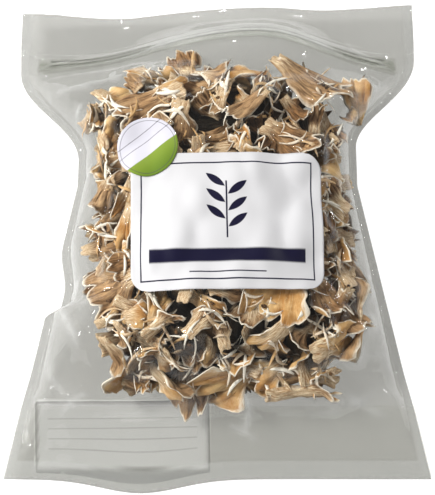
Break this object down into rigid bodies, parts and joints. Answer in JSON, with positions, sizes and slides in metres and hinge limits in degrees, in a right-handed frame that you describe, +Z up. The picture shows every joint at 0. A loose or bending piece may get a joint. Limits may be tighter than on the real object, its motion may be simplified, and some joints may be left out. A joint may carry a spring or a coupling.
{
  "type": "zip pouch of dried maitake mushroom",
  "caption": "Clear stand-up zip pouch lying on its back, full of dried maitake mushroom pieces, with a blank front label, a round sticker and a back label.",
  "frame": {"origin": "on the table under the middle of the pouch as it lies", "axes": "+X across the pouch, +Y from its bottom edge to its zip, +Z up out of the table"},
  "size_m": [0.22, 0.2677, 0.0783],
  "materials": {
    "clear_film": "clear film, glossy and crinkled",
    "zip_film": "clear ribbed zip strip",
    "label_paper": "white satin label paper",
    "sticker_paper": "white and green gloss label paper",
    "back_paper": "greyish white label paper",
    "cap_brown": "matt, dried grey-brown mushroom cap",
    "pale_flesh": "matt, dried cream mushroom flesh"
  },
  "bodies": {
    "root": {"front_film": "clear_film", "back_film": "clear_film", "bottom_gusset": "clear_film", "zip_front_strip": "zip_film", "zip_back_strip": "zip_film", "front_label": "label_paper", "round_sticker": "sticker_paper", "back_label": "back_paper", "frond_01": "cap_brown", "frond_02": "pale_flesh", "frond_03": "pale_flesh", "frond_04": "pale_flesh", "frond_05": "cap_brown", "frond_06": "cap_brown", "frond_07": "cap_brown", "frond_08": "pale_flesh", "frond_09": "cap_brown", "frond_10": "cap_brown", "frond_11": "cap_brown", "frond_12": "cap_brown", "frond_13": "pale_flesh", "frond_14": "pale_flesh", "frond_15": "pale_flesh", "frond_16": "pale_flesh", "frond_17": "pale_flesh", "frond_18": "pale_flesh", "frond_19": "cap_brown", "frond_20": "pale_flesh", "frond_21": "cap_brown", "frond_22": "pale_flesh", "frond_23": "pale_flesh", "frond_24": "pale_flesh", "frond_25": "cap_brown", "frond_26": "pale_flesh", "frond_27": "pale_flesh", "frond_28": "cap_brown", "frond_29": "pale_flesh", "frond_30": "cap_brown", "frond_31": "cap_brown", "frond_32": "cap_brown", "frond_33": "pale_flesh", "frond_34": "cap_brown", "frond_35": "pale_flesh", "frond_36": "pale_flesh", "filler_01": "cap_brown", "filler_02": "cap_brown", "filler_03": "cap_brown", "filler_04": "cap_brown", "filler_05": "cap_brown", "filler_06": "cap_brown", "filler_07": "cap_brown", "filler_08": "cap_brown", "filler_09": "cap_brown", "filler_10": "cap_brown", "filler_11": "cap_brown", "filler_13": "cap_brown", "filler_14": "cap_brown", "filler_15": "cap_brown", "filler_22": "cap_brown", "filler_23": "cap_brown"}
  },
  "joints": []
}
